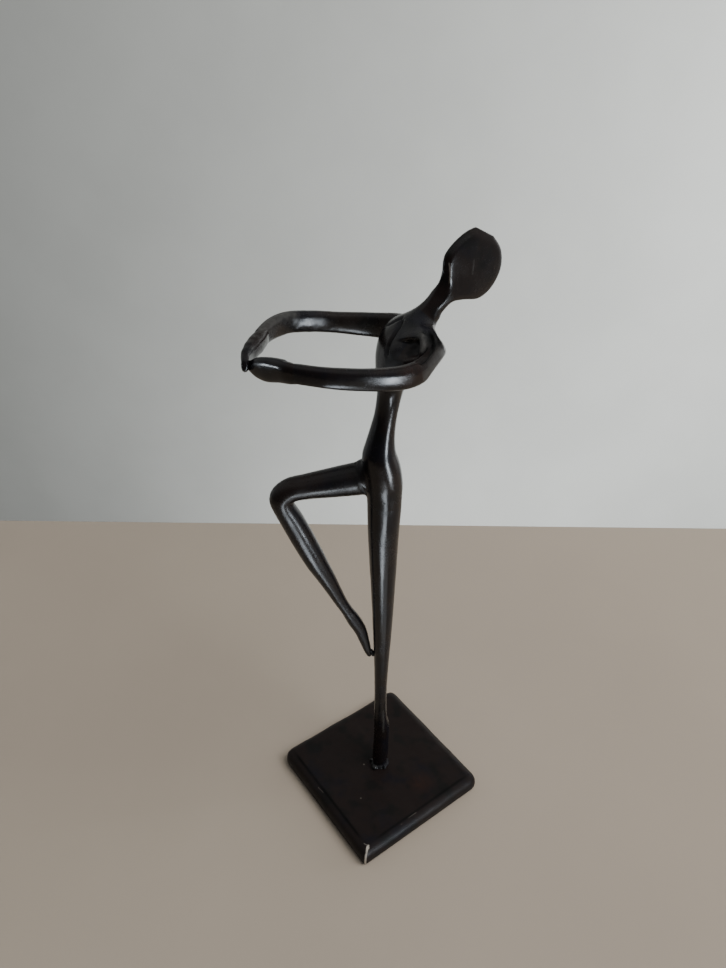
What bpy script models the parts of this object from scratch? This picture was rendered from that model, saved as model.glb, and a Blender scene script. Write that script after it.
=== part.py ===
"""Bronze statuette of a stylised dancer on a square plate.

The figure stands on the tip of its left foot, with the right foot drawn up to the
standing leg, the arms held forward in a ring and a flat, blank disc for a head.
It is put together as a founder does it: cast limbs that meet at dowelled, brazed
joints, and a threaded stud that holds the foot to the plate.

Sizes are in millimetres and are turned into metres when a mesh is made.
World frame: +Z up, origin at the centre of the underside, plate sides along X and Y.
Figure frame: the same heights, turned and shifted on the plate, so that the figure
faces -Y, its left side is +X and its midline is x = 0.
"""

import math

import bmesh
import bpy
import numpy as np
from mathutils import Matrix, Vector

MM = 0.001
GAP = 0.3                     # clearance between pieces that touch

# Plate and felt
PLATE_SIDE = 80.0
PLATE_TOP = 9.5
TOP_EDGE_ROUND = 5.2
UPRIGHT_EDGE_ROUND = 5.0
FRONT_CORNER_ROUND = 1.6      # the +X, -Y corner is left nearly sharp
FELT_THICKNESS = 0.8
FELT_INSET = 2.5

# Fixing under the plate, on the axis of the standing foot
STUD_DIAMETER = 3.0
STUD_BOTTOM = 1.8
STUD_TOP = 22.0
COUNTERBORE_DIAMETER = 12.0
COUNTERBORE_CEILING = 6.4
WASHER_DIAMETER = 7.0
WASHER_THICKNESS = 0.5
NUT_ACROSS_FLATS = 5.5
NUT_THICKNESS = 2.4

# Where the figure stands on the plate
FIGURE_TURN = math.radians(-18.0)
FOOT_OFFSET = 3.0             # the standing foot is this far left of the midline

# Joints between the castings, in the figure frame
HIP_JOINT = Vector((2.4, -0.4, 190.5))
SHOULDER_JOINT = Vector((9.0, 12.0, 264.6))
SHOULDER_JOINT_FACING = Vector((0.84, 0.0, 0.54)).normalized()
NECK_JOINT = Vector((0.0, 16.6, 273.2))
NECK_JOINT_FACING = Vector((0.0, 0.70, 0.71)).normalized()
UP = Vector((0.0, 0.0, 1.0))
SIDEWAYS = Vector((1.0, 0.0, 0.0))
TRIM_BLOCK = 80.0
JOINT_MARGIN = 16.0           # length modelled past the hip joint, then trimmed off
LIMB_DOWEL = 4.0
NECK_DOWEL = 3.4
WRIST_DOWEL = 1.8

# Mesh fineness
SECTION_POINTS = 16
BROAD_SECTION_POINTS = 20
ROW_SPACING = 4.0
SMOOTH_ANGLE = math.radians(40.0)
ARM_SQUARENESS = 2.7
HEAD_SQUARENESS = 2.6

# Standing leg and torso in one line: x, y, z, width, depth
LEG_AND_TORSO = (
    (3.0, 0.1, PLATE_TOP + GAP, 4.8, 6.4),
    (3.0, 0.1, 12.6, 6.0, 8.2),
    (3.0, 0.3, 20.0, 6.2, 8.8),
    (3.0, 0.6, 32.0, 5.8, 8.2),
    (3.0, 0.7, 42.0, 5.6, 8.2),
    (3.0, -0.1, 51.0, 5.6, 6.6),
    (3.0, -0.5, 70.0, 5.6, 5.7),
    (3.0, -0.5, 86.0, 6.2, 6.3),
    (3.0, -0.4, 100.0, 7.1, 7.2),
    (3.0, -0.3, 120.0, 8.8, 8.8),
    (3.0, -0.5, 140.0, 10.2, 10.2),
    (3.0, -0.7, 158.0, 11.8, 11.8),
    (2.9, -0.8, 176.0, 13.0, 13.2),
    (2.6, -0.4, 187.0, 13.8, 14.3),
    (2.2, -0.3, 194.6, 14.6, 14.8),
    (1.2, -0.4, 199.5, 17.6, 15.6),
    (0.5, -1.2, 206.0, 18.0, 15.2),
    (0.3, -2.4, 213.0, 15.6, 13.6),
    (0.2, -2.2, 218.5, 13.0, 11.2),
    (0.1, -1.3, 225.0, 11.0, 9.0),
    (0.0, 0.0, 232.0, 9.8, 7.8),
    (0.0, 1.1, 239.0, 10.2, 8.2),
    (0.0, 1.9, 244.0, 13.6, 9.4),
    (0.0, 2.6, 250.0, 22.6, 11.6),
    (0.0, 4.0, 256.0, 30.6, 13.6),
    (0.0, 6.8, 261.5, 34.0, 14.8),
    (0.0, 10.8, 266.0, 30.0, 13.4),
    (0.0, 14.2, 270.0, 17.0, 11.0),
    (0.0, 17.0, 273.6, 9.6, 9.6),
    (0.0, 19.0, 275.6, 9.0, 9.0),
)

# Raised leg from the hip to the toe: x, y, z, width, thickness
RAISED_LEG = (
    (-1.4, 1.0, 201.0, 9.0, 11.0),
    (-2.4, -4.0, 201.3, 12.0, 14.4),
    (-3.6, -10.5, 201.6, 12.8, 14.8),
    (-4.4, -16.0, 201.3, 12.4, 13.6),
    (-5.0, -24.0, 201.1, 11.4, 12.2),
    (-5.6, -33.0, 200.9, 10.4, 10.8),
    (-6.0, -39.8, 200.2, 10.0, 10.6),
    (-6.1, -44.3, 196.8, 9.8, 10.0),
    (-6.0, -43.8, 192.2, 9.6, 9.0),
    (-5.6, -40.8, 184.5, 9.6, 9.3),
    (-4.6, -36.4, 173.0, 9.4, 9.5),
    (-3.6, -31.6, 161.0, 8.6, 8.8),
    (-2.6, -26.3, 148.7, 7.0, 6.9),
    (-1.6, -20.7, 135.5, 5.6, 5.2),
    (-1.0, -17.6, 128.6, 5.2, 4.8),
    (-0.5, -14.0, 121.0, 5.2, 5.6),
    (0.0, -10.8, 114.0, 5.0, 5.2),
    (0.4, -7.4, 106.0, 4.8, 5.0),
    (0.8, -5.6, 100.4, 4.4, 4.2),
    (1.0, -5.0, 97.0, 3.2, 2.8),
)

# Left arm from inside the shoulder, round the elbow: x, y, z, height, thickness
UPPER_ARM = (
    (1.0, 12.8, 267.6, 12.6, 10.0),
    (7.0, 13.8, 265.2, 12.4, 8.0),
    (13.0, 13.6, 262.8, 11.8, 7.0),
    (19.4, 11.0, 261.9, 10.6, 6.0),
    (24.4, 4.6, 261.4, 9.4, 5.4),
    (27.0, -2.0, 261.8, 8.8, 5.2),
    (28.4, -11.0, 263.1, 8.0, 5.0),
    (28.5, -20.0, 264.6, 7.7, 4.8),
    (27.2, -30.0, 266.1, 7.4, 4.6),
)
LEFT_FOREARM = (
    (25.0, -35.6, 266.5, 7.0, 4.6),
    (21.2, -41.0, 266.6, 7.0, 4.4),
)
LEFT_HAND = (
    (20.4, -41.8, 266.6, 6.6, 3.6),
    (17.2, -44.0, 266.0, 8.6, 4.0),
    (12.8, -46.8, 265.2, 9.6, 4.2),
    (8.0, -49.8, 264.3, 9.2, 3.8),
    (4.8, -51.6, 263.7, 7.0, 3.0),
    (2.8, -52.4, 263.4, 4.6, 2.2),
)

# Right forearm and hand, given as if on the left side and then mirrored
RIGHT_FOREARM = (
    (25.0, -35.6, 266.6, 8.2, 4.8),
    (20.6, -41.6, 266.8, 8.2, 4.8),
    (12.8, -48.0, 265.9, 7.8, 4.6),
)
RIGHT_HAND = (
    (12.1, -48.4, 266.0, 6.2, 3.2),
    (7.5, -51.6, 265.8, 7.2, 3.6),
    (2.5, -54.1, 265.1, 7.0, 3.2),
    (-2.5, -55.2, 263.9, 6.0, 2.6),
    (-5.0, -55.6, 263.4, 4.2, 1.9),
)

# Head and neck in the midline plane: front point y, z, back point y, z, thickness
HEAD_AND_NECK = (
    (12.0, 274.6, 17.6, 268.4, 9.0),
    (14.4, 277.0, 20.0, 270.9, 8.6),
    (16.6, 279.0, 22.8, 275.0, 7.8),
    (19.0, 281.7, 26.0, 278.2, 7.0),
    (21.0, 285.2, 30.6, 278.9, 6.2),
    (21.8, 289.4, 36.6, 278.5, 5.8),
    (22.0, 293.6, 41.2, 281.2, 5.4),
    (23.2, 296.8, 44.2, 285.4, 5.2),
    (27.0, 300.6, 45.6, 290.6, 5.0),
    (31.2, 303.6, 44.6, 296.4, 4.6),
    (34.8, 304.8, 41.4, 301.2, 3.4),
)

# Hollow of the chest under each collarbone: centre and radii
CHEST_HOLLOW_CENTRE = (6.6, 0.6, 257.5)
CHEST_HOLLOW_RADII = (5.0, 5.6, 7.0)

# Dowels between the castings: start and end of each
STANDING_HIP_DOWEL = ((2.6, -0.4, 184.0), (2.2, -0.4, 197.0))
RAISED_HIP_DOWEL = ((-2.5, -4.6, 201.3), (-3.7, -13.6, 201.5))
SHOULDER_DOWEL = ((5.0, 11.6, 265.6), (12.6, 12.6, 263.4))
NECK_DOWEL_RUN = ((0.0, 13.6, 270.2), (0.0, 19.6, 276.4))
LEFT_WRIST_DOWEL = ((23.4, -38.4, 266.7), (18.6, -43.6, 266.6))
RIGHT_WRIST_DOWEL = ((15.6, -46.2, 266.2), (9.6, -50.6, 265.4))

# Brazing that shows
FOOT_BEAD = (
    (3.0, 0.1, PLATE_TOP + GAP, 9.2, 10.8),
    (3.0, 0.1, 10.6, 8.0, 9.6),
    (3.0, 0.1, 11.4, 7.2, 9.2),
)
TOE_BEAD = ((-0.4, -3.1, 98.0), (1.3, 1.3, 2.0))
FINGERTIP_BEAD = ((1.6, -52.4, 263.8), (1.5, 1.6, 1.7))


# ---------------------------------------------------------------- scene and materials

def clear_scene():
    for item in list(bpy.data.objects):
        bpy.data.objects.remove(item, do_unlink=True)


def new_collection(name):
    collection = bpy.data.collections.new(name)
    bpy.context.scene.collection.children.link(collection)
    return collection


def make_material(name, colour, roughness, metallic):
    material = bpy.data.materials.new(name)
    material.use_nodes = True
    shader = material.node_tree.nodes["Principled BSDF"]
    shader.inputs["Base Color"].default_value = (*colour, 1.0)
    shader.inputs["Roughness"].default_value = roughness
    shader.inputs["Metallic"].default_value = metallic
    return material


def patinated_bronze(name):
    return make_material(name, (0.018, 0.016, 0.017), 0.32, 0.75)


def bare_bronze(name):
    return make_material(name, (0.42, 0.26, 0.12), 0.40, 1.0)


def plated_steel(name):
    return make_material(name, (0.55, 0.55, 0.56), 0.35, 1.0)


def dark_felt(name):
    return make_material(name, (0.02, 0.02, 0.02), 0.95, 0.0)


class Statuette:
    """The collections, the empty that carries the figure, and ways to add a piece."""

    def __init__(self):
        self.pieces = new_collection("bronze_dancer_statuette")
        self.tools = new_collection("cutters")
        self.figure = bpy.data.objects.new("figure_frame", None)
        self.pieces.objects.link(self.figure)
        turn = Matrix.Rotation(FIGURE_TURN, 4, "Z")
        shift = turn @ Vector((-FOOT_OFFSET * MM, 0.0, 0.0))
        self.figure.matrix_world = Matrix.Translation(shift) @ turn

    def add(self, name, mesh, finish, on_figure=True):
        mesh.shade_smooth()
        mesh.set_sharp_from_angle(angle=SMOOTH_ANGLE)
        mesh.materials.append(finish(name))
        return self._place(name, mesh, self.pieces, on_figure)

    def tool(self, name, mesh, on_figure=True):
        item = self._place(name, mesh, self.tools, on_figure)
        item.hide_render = True
        item.display_type = "WIRE"
        return item

    def _place(self, name, mesh, collection, on_figure):
        item = bpy.data.objects.new(name, mesh)
        collection.objects.link(item)
        if on_figure:
            item.parent = self.figure
        return item


def cut(item, *tools):
    for tool in tools:
        boolean = item.modifiers.new("cut_" + tool.name, "BOOLEAN")
        boolean.operation = "DIFFERENCE"
        boolean.object = tool


# ---------------------------------------------------------------- meshes

def mesh_from(bm, name):
    bmesh.ops.recalc_face_normals(bm, faces=bm.faces)
    mesh = bpy.data.meshes.new(name)
    bm.to_mesh(mesh)
    bm.free()
    return mesh


def facing(direction):
    """The rotation that turns +Z to a direction."""
    return direction.to_track_quat("Z", "Y").to_matrix().to_4x4()


def rod(name, start, end, diameter, sides=24):
    """A bar between two points: round, or a hexagon with six sides."""
    start, end = Vector(start), Vector(end)
    along = end - start
    radius = diameter / 2 * MM
    bm = bmesh.new()
    bmesh.ops.create_cone(bm, cap_ends=True, segments=sides, radius1=radius, radius2=radius,
                          depth=along.length * MM)
    place = Matrix.Translation((start + end) / 2 * MM) @ facing(along)
    bmesh.ops.transform(bm, matrix=place, verts=bm.verts)
    return mesh_from(bm, name)


def ellipsoid(name, centre, radii):
    bm = bmesh.new()
    bmesh.ops.create_uvsphere(bm, u_segments=16, v_segments=10, radius=1.0)
    scale = Matrix.Diagonal((*[radius * MM for radius in radii], 1.0))
    place = Matrix.Translation(Vector(centre) * MM) @ scale
    bmesh.ops.transform(bm, matrix=place, verts=bm.verts)
    return mesh_from(bm, name)


def block_beyond(name, point, normal):
    """A cube that fills the space beyond a plane, for trimming a piece to it."""
    bm = bmesh.new()
    bmesh.ops.create_cube(bm, size=TRIM_BLOCK * MM)
    centre = point + normal * TRIM_BLOCK / 2
    place = Matrix.Translation(centre * MM) @ facing(normal)
    bmesh.ops.transform(bm, matrix=place, verts=bm.verts)
    return mesh_from(bm, name)


def catmull_rom(a, b, c, d, t):
    return 0.5 * (2 * b + (c - a) * t + (2 * a - 5 * b + 4 * c - d) * t ** 2
                  + (3 * b - a - 3 * c + d) * t ** 3)


def smooth_rows(stations):
    """Rows read from one smooth curve through the stations, about ROW_SPACING apart."""
    rows = [np.array(station) for station in stations]
    padded = [2 * rows[0] - rows[1]] + rows + [2 * rows[-1] - rows[-2]]
    result = []
    for index in range(1, len(padded) - 2):
        length = float(np.linalg.norm((padded[index + 1] - padded[index])[:3]))
        steps = max(1, round(length / ROW_SPACING))
        for step in range(steps):
            result.append(catmull_rom(*padded[index - 1:index + 3], step / steps))
    result.append(rows[-1])
    return result


def section(centre, across, upward, half_across, half_up, count, squareness):
    """One closed ring of points: an oval at squareness 2, and squarer above it."""
    ring = []
    for index in range(count):
        angle = 2 * math.pi * (index + 0.5) / count
        cosine, sine = math.cos(angle), math.sin(angle)
        side = math.copysign(abs(cosine) ** (2 / squareness), cosine) * half_across
        rise = math.copysign(abs(sine) ** (2 / squareness), sine) * half_up
        ring.append(centre + across * side + upward * rise)
    return ring


def skin(name, rings):
    """A closed skin over a row of rings, with a flat face at each end."""
    bm = bmesh.new()
    loops = [[bm.verts.new(point * MM) for point in ring] for ring in rings]
    count = len(rings[0])
    for lower, upper in zip(loops, loops[1:]):
        for index in range(count):
            following = (index + 1) % count
            bm.faces.new((lower[index], lower[following], upper[following], upper[index]))
    bm.faces.new(loops[0][::-1])
    bm.faces.new(loops[-1])
    return mesh_from(bm, name)


def limb(name, stations, across, grow=0.0, count=SECTION_POINTS, squareness=2.0):
    """A limb along a smooth line through stations of x, y, z and two sizes.

    across is the direction of the first size, turned to lie square to the limb.
    """
    rows = smooth_rows(stations)
    centres = [Vector(row[:3]) for row in rows]
    rings = []
    for index, row in enumerate(rows):
        before = centres[max(index - 1, 0)]
        after = centres[min(index + 1, len(rows) - 1)]
        along = (after - before).normalized()
        sideways = (across - along * across.dot(along)).normalized()
        rings.append(section(centres[index], sideways, along.cross(sideways),
                             row[3] / 2 + grow, row[4] / 2 + grow, count, squareness))
    return skin(name, rings)


def flat_form(name, stations):
    """A form in the midline plane, from front points, back points and thicknesses."""
    rings = []
    for front_y, front_z, back_y, back_z, thickness in smooth_rows(stations):
        front, back = Vector((0.0, front_y, front_z)), Vector((0.0, back_y, back_z))
        breadth = back - front
        rings.append(section((front + back) / 2, SIDEWAYS, breadth.normalized(), thickness / 2,
                             breadth.length / 2, BROAD_SECTION_POINTS, HEAD_SQUARENESS))
    return skin(name, rings)


def mirror(row):
    return (-row[0], *row[1:])


def mirrored(rows):
    return tuple(mirror(row) for row in rows)


def widened(run):
    """The ends of a dowel's socket, a gap longer at each end."""
    start, end = Vector(run[0]), Vector(run[1])
    reach = (end - start).normalized() * GAP
    return start - reach, end + reach


# ---------------------------------------------------------------- plate and its fixing

def add_base_plate(statuette):
    thickness = PLATE_TOP - FELT_THICKNESS - GAP
    bm = bmesh.new()
    bmesh.ops.create_cube(bm, size=1.0)
    size = Matrix.Diagonal((PLATE_SIDE * MM, PLATE_SIDE * MM, thickness * MM, 1.0))
    lift = Matrix.Translation((0.0, 0.0, (PLATE_TOP - thickness / 2) * MM))
    bmesh.ops.transform(bm, matrix=lift @ size, verts=bm.verts)
    weights = bm.edges.layers.float.new("bevel_weight_edge")
    for edge in bm.edges:
        heights = [vertex.co.z > PLATE_TOP / 2 * MM for vertex in edge.verts]
        if all(heights):
            edge[weights] = 1.0
        elif any(heights):
            corner = edge.verts[0].co
            at_front = corner.x > 0.0 and corner.y < 0.0
            rounding = FRONT_CORNER_ROUND if at_front else UPRIGHT_EDGE_ROUND
            edge[weights] = rounding / TOP_EDGE_ROUND
    plate = statuette.add("base_plate", mesh_from(bm, "base_plate"), patinated_bronze,
                          on_figure=False)
    bevel = plate.modifiers.new("rounded_edges", "BEVEL")
    bevel.limit_method = "WEIGHT"
    bevel.width = TOP_EDGE_ROUND * MM
    bevel.segments = 5
    hole = rod("stud_hole", (0, 0, -1), (0, 0, PLATE_TOP + 1), STUD_DIAMETER + 2 * GAP)
    counterbore = rod("counterbore", (0, 0, -1), (0, 0, COUNTERBORE_CEILING), COUNTERBORE_DIAMETER)
    cut(plate, statuette.tool("stud_hole", hole, on_figure=False),
        statuette.tool("counterbore", counterbore, on_figure=False))


def add_felt_pad(statuette):
    side = PLATE_SIDE - 2 * FELT_INSET
    bm = bmesh.new()
    bmesh.ops.create_cube(bm, size=1.0)
    size = Matrix.Diagonal((side * MM, side * MM, FELT_THICKNESS * MM, 1.0))
    lift = Matrix.Translation((0.0, 0.0, FELT_THICKNESS / 2 * MM))
    bmesh.ops.transform(bm, matrix=lift @ size, verts=bm.verts)
    statuette.add("felt_pad", mesh_from(bm, "felt_pad"), dark_felt, on_figure=False)


def add_fixing(statuette):
    stud = rod("fixing_stud", (0, 0, STUD_BOTTOM), (0, 0, STUD_TOP), STUD_DIAMETER)
    statuette.add("fixing_stud", stud, plated_steel, on_figure=False)
    bore = statuette.tool("fixing_bore", rod("fixing_bore", (0, 0, -1), (0, 0, STUD_TOP + GAP),
                                             STUD_DIAMETER + 2 * GAP), on_figure=False)
    washer_top = COUNTERBORE_CEILING - GAP
    washer_bottom = washer_top - WASHER_THICKNESS
    washer = rod("fixing_washer", (0, 0, washer_bottom), (0, 0, washer_top), WASHER_DIAMETER)
    nut_top = washer_bottom - GAP
    across_corners = NUT_ACROSS_FLATS / math.cos(math.pi / 6)
    nut = rod("fixing_nut", (0, 0, nut_top - NUT_THICKNESS), (0, 0, nut_top), across_corners, 6)
    cut(statuette.add("fixing_washer", washer, plated_steel, on_figure=False), bore)
    cut(statuette.add("fixing_nut", nut, plated_steel, on_figure=False), bore)
    return bore


# ---------------------------------------------------------------- castings

def dowel_with_socket(statuette, name, run, diameter):
    """A dowel between two castings; its socket is cut from both."""
    statuette.add(name, rod(name, *run, diameter, 16), bare_bronze)
    socket = rod(name + "_socket", *widened(run), diameter + 2 * GAP, 16)
    return statuette.tool(name + "_socket", socket)


def trim(statuette, name, point, normal):
    return statuette.tool(name, block_beyond(name, point, normal))


def add_castings(statuette, fixing_bore):
    sockets = {
        "standing_hip": dowel_with_socket(statuette, "standing_hip_dowel", STANDING_HIP_DOWEL, LIMB_DOWEL),
        "raised_hip": dowel_with_socket(statuette, "raised_hip_dowel", RAISED_HIP_DOWEL, LIMB_DOWEL),
        "neck": dowel_with_socket(statuette, "neck_dowel", NECK_DOWEL_RUN, NECK_DOWEL),
        "left_shoulder": dowel_with_socket(statuette, "left_shoulder_dowel", SHOULDER_DOWEL, LIMB_DOWEL),
        "right_shoulder": dowel_with_socket(statuette, "right_shoulder_dowel",
                                            mirrored(SHOULDER_DOWEL), LIMB_DOWEL),
        "left_wrist": dowel_with_socket(statuette, "left_wrist_dowel", LEFT_WRIST_DOWEL, WRIST_DOWEL),
        "right_wrist": dowel_with_socket(statuette, "right_wrist_dowel",
                                         mirrored(RIGHT_WRIST_DOWEL), WRIST_DOWEL),
    }
    add_standing_leg(statuette, sockets, fixing_bore)
    add_torso(statuette, sockets)
    add_head_and_neck(statuette, sockets)
    add_arms(statuette, sockets)
    add_raised_leg(statuette, sockets)


def add_standing_leg(statuette, sockets, fixing_bore):
    rows = [row for row in LEG_AND_TORSO if row[2] < HIP_JOINT.z + JOINT_MARGIN]
    leg = statuette.add("standing_leg", limb("standing_leg", rows, SIDEWAYS), patinated_bronze)
    cut(leg, trim(statuette, "above_hip", HIP_JOINT - UP * GAP, UP), sockets["standing_hip"],
        fixing_bore)


def add_torso(statuette, sockets):
    rows = [row for row in LEG_AND_TORSO if row[2] > HIP_JOINT.z - JOINT_MARGIN]
    mesh = limb("torso", rows, SIDEWAYS, count=BROAD_SECTION_POINTS)
    torso = statuette.add("torso", mesh, patinated_bronze)
    cut(torso, trim(statuette, "below_hip", HIP_JOINT, -UP),
        trim(statuette, "beyond_neck", NECK_JOINT, NECK_JOINT_FACING))
    for side, flip in (("left", Vector), ("right", lambda row: Vector(mirror(row)))):
        hollow = ellipsoid(side + "_chest_hollow", flip(CHEST_HOLLOW_CENTRE), CHEST_HOLLOW_RADII)
        cut(torso, trim(statuette, "beyond_" + side + "_shoulder", flip(SHOULDER_JOINT),
                        flip(SHOULDER_JOINT_FACING)),
            statuette.tool(side + "_chest_hollow", hollow))
    for joint in ("standing_hip", "raised_hip", "neck", "left_shoulder", "right_shoulder"):
        cut(torso, sockets[joint])


def add_head_and_neck(statuette, sockets):
    mesh = flat_form("head_and_neck", HEAD_AND_NECK)
    head = statuette.add("head_and_neck", mesh, patinated_bronze)
    cut(head, trim(statuette, "below_neck", NECK_JOINT + NECK_JOINT_FACING * GAP, -NECK_JOINT_FACING),
        sockets["neck"])


def add_arms(statuette, sockets):
    left_rows = UPPER_ARM + LEFT_FOREARM
    right_rows = mirrored(UPPER_ARM + RIGHT_FOREARM)
    for side, rows, flip in (("left", left_rows, Vector),
                             ("right", right_rows, lambda row: Vector(mirror(row)))):
        mesh = limb(side + "_arm", rows, UP, squareness=ARM_SQUARENESS)
        arm = statuette.add(side + "_arm", mesh, patinated_bronze)
        normal = flip(SHOULDER_JOINT_FACING)
        cut(arm, trim(statuette, "inside_" + side + "_shoulder",
                      flip(SHOULDER_JOINT) + normal * GAP, -normal),
            sockets[side + "_shoulder"], sockets[side + "_wrist"])
    for side, rows in (("left", LEFT_HAND), ("right", mirrored(RIGHT_HAND))):
        mesh = limb(side + "_hand", rows, UP, squareness=ARM_SQUARENESS)
        cut(statuette.add(side + "_hand", mesh, patinated_bronze), sockets[side + "_wrist"])


def add_raised_leg(statuette, sockets):
    mesh = limb("raised_leg", RAISED_LEG, SIDEWAYS)
    leg = statuette.add("raised_leg", mesh, patinated_bronze)
    body = limb("body_clearance", LEG_AND_TORSO, SIDEWAYS, grow=GAP, count=BROAD_SECTION_POINTS)
    cut(leg, statuette.tool("body_clearance", body), sockets["raised_hip"])


# ---------------------------------------------------------------- brazing

def add_foot_braze(statuette):
    bead = statuette.add("foot_braze", limb("foot_braze", FOOT_BEAD, SIDEWAYS), patinated_bronze)
    foot = limb("foot_clearance", LEG_AND_TORSO[:6], SIDEWAYS, grow=GAP)
    cut(bead, statuette.tool("foot_clearance", foot))


def add_small_beads(statuette):
    body = limb("toe_body_clearance", LEG_AND_TORSO, SIDEWAYS, grow=GAP)
    toe = limb("toe_clearance", RAISED_LEG, SIDEWAYS, grow=GAP)
    bead = statuette.add("toe_braze", ellipsoid("toe_braze", *TOE_BEAD), patinated_bronze)
    cut(bead, statuette.tool("toe_body_clearance", body), statuette.tool("toe_clearance", toe))
    bead = statuette.add("fingertip_braze", ellipsoid("fingertip_braze", *FINGERTIP_BEAD),
                         patinated_bronze)
    for name, rows in (("left_hand_clearance", LEFT_HAND),
                       ("right_hand_clearance", mirrored(RIGHT_HAND))):
        hand = limb(name, rows, UP, grow=GAP, squareness=ARM_SQUARENESS)
        cut(bead, statuette.tool(name, hand))


def main():
    clear_scene()
    statuette = Statuette()
    add_base_plate(statuette)
    add_felt_pad(statuette)
    fixing_bore = add_fixing(statuette)
    add_castings(statuette, fixing_bore)
    add_foot_braze(statuette)
    add_small_beads(statuette)


main()
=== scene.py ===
"""Looks of the bronze dancer statuette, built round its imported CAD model.

The castings of the figure are shaped together, as a sculptor works one clay: smooth
skins are lofted, melted into one surface and worked over, and the clay is then sawn
apart at the founder's joints, so that each casting is a piece of its own.

Shapes are given in millimetres in the figure's frame: the figure faces -Y, its left side
is +X, and heights are those of the world. Materials and the stage are in metres.
"""

import math

import bmesh
import bpy
import numpy as np
from mathutils import Matrix, Vector, noise


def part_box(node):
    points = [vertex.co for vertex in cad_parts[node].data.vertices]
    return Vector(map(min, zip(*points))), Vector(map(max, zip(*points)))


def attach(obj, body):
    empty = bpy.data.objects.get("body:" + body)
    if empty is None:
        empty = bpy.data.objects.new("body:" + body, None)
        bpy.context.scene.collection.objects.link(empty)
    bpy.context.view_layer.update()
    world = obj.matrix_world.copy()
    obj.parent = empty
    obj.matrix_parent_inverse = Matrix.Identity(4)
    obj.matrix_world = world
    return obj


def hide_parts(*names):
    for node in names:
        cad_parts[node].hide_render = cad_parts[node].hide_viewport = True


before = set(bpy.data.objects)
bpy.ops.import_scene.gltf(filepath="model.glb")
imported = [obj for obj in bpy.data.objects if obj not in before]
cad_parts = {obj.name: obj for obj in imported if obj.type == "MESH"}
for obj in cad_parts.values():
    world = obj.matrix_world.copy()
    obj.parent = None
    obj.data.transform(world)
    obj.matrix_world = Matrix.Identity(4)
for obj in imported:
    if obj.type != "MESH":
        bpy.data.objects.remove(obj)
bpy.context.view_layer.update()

MM = 0.001
ROOT = "root"

# Where the figure stands
FIGURE_TURN = math.radians(-18.0)
FOOT_OFFSET = 3.0
PLATE_LOW, PLATE_HIGH = [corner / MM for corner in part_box("base_plate")]
PLATE_TOP = PLATE_HIGH.z

UP = Vector((0.0, 0.0, 1.0))
SIDEWAYS = Vector((1.0, 0.0, 0.0))
BACKWARDS = Vector((0.0, 1.0, 0.0))

# Fineness of the skins and the clay
RING_POINTS = 72
ROW_SPACING = 1.2
FIGURE_VOXEL = 0.42
PLATE_VOXEL = 0.5
BEAD_VOXEL = 0.25

# How far one round of smoothing moves a point towards its neighbours' mean
RELAX_STEP = 0.6
POLISH_STEPS = (0.62, -0.65)
# How the form is read: rounds of smoothing, and the shift that counts as fully convex
FORM_ROUNDS = 10
FORM_SCALE = 0.4

# Founder's joints: a point on the saw cut, its normal and the reach of the cut
JOINTS = (
    (Vector((2.4, -0.4, 190.5)), UP, 12.5),
    (Vector((-3.0, -10.0, 201.4)), Vector((-0.20, -0.98, 0.0)), 16.0),
    (Vector((0.0, 16.6, 273.2)), Vector((0.0, 0.70, 0.71)), 9.5),
    (Vector((9.5, 12.0, 264.6)), Vector((0.96, 0.0, 0.28)), 19.0),
    (Vector((-9.5, 12.0, 264.6)), Vector((-0.96, 0.0, 0.28)), 19.0),
)
# A point in the middle of each casting
CASTINGS = {
    "torso": (0.0, 1.0, 235.0),
    "standing_leg": (3.0, 0.0, 120.0),
    "raised_leg": (-4.6, -35.6, 173.0),
    "head_and_neck": (-1.0, 34.0, 292.0),
    "left_arm": (28.7, -20.0, 264.4),
    "right_arm": (-28.8, -20.0, 264.9),
}

# Standing leg and torso in one line: x, y, z, width, depth
LEG_AND_TORSO = (
    (3.0, 0.1, PLATE_TOP + 0.1, 5.0, 6.6),
    (3.0, 0.1, 12.6, 6.2, 8.4),
    (3.0, 0.3, 20.0, 6.4, 9.0),
    (3.0, 0.6, 32.0, 6.1, 8.5),
    (3.0, 0.7, 42.0, 6.0, 8.5),
    (3.0, -0.1, 51.0, 6.0, 7.1),
    (3.0, -0.3, 70.0, 6.1, 6.5),
    (3.0, -0.2, 86.0, 6.8, 7.2),
    (3.0, -0.1, 100.0, 7.8, 8.3),
    (3.0, 0.0, 120.0, 9.5, 9.9),
    (3.0, -0.1, 140.0, 10.9, 11.4),
    (3.0, -0.3, 158.0, 12.4, 12.9),
    (2.9, -0.4, 176.0, 13.6, 14.3),
    (2.6, -0.1, 187.0, 14.3, 15.2),
    (2.2, 0.0, 194.6, 15.0, 15.7),
    (1.5, -0.1, 199.5, 17.2, 16.4),
    (0.5, -0.7, 206.0, 18.2, 16.4),
    (0.3, -1.9, 213.0, 16.2, 15.0),
    (0.2, -1.6, 218.5, 13.6, 12.6),
    (0.1, -0.7, 225.0, 11.8, 10.6),
    (0.0, 0.6, 232.0, 10.6, 9.4),
    (0.0, 1.7, 239.0, 10.9, 9.6),
    (0.0, 2.3, 244.0, 13.6, 10.2),
    (0.0, 2.8, 250.0, 20.2, 11.8),
    (0.0, 4.0, 256.0, 27.6, 13.4),
    (0.0, 6.8, 261.5, 33.4, 14.8),
    (0.0, 10.8, 266.4, 30.0, 13.8),
    (0.0, 14.2, 270.4, 18.0, 11.6),
    (0.0, 17.0, 273.6, 10.2, 9.8),
    (0.0, 19.0, 275.6, 9.2, 9.2),
)

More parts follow.
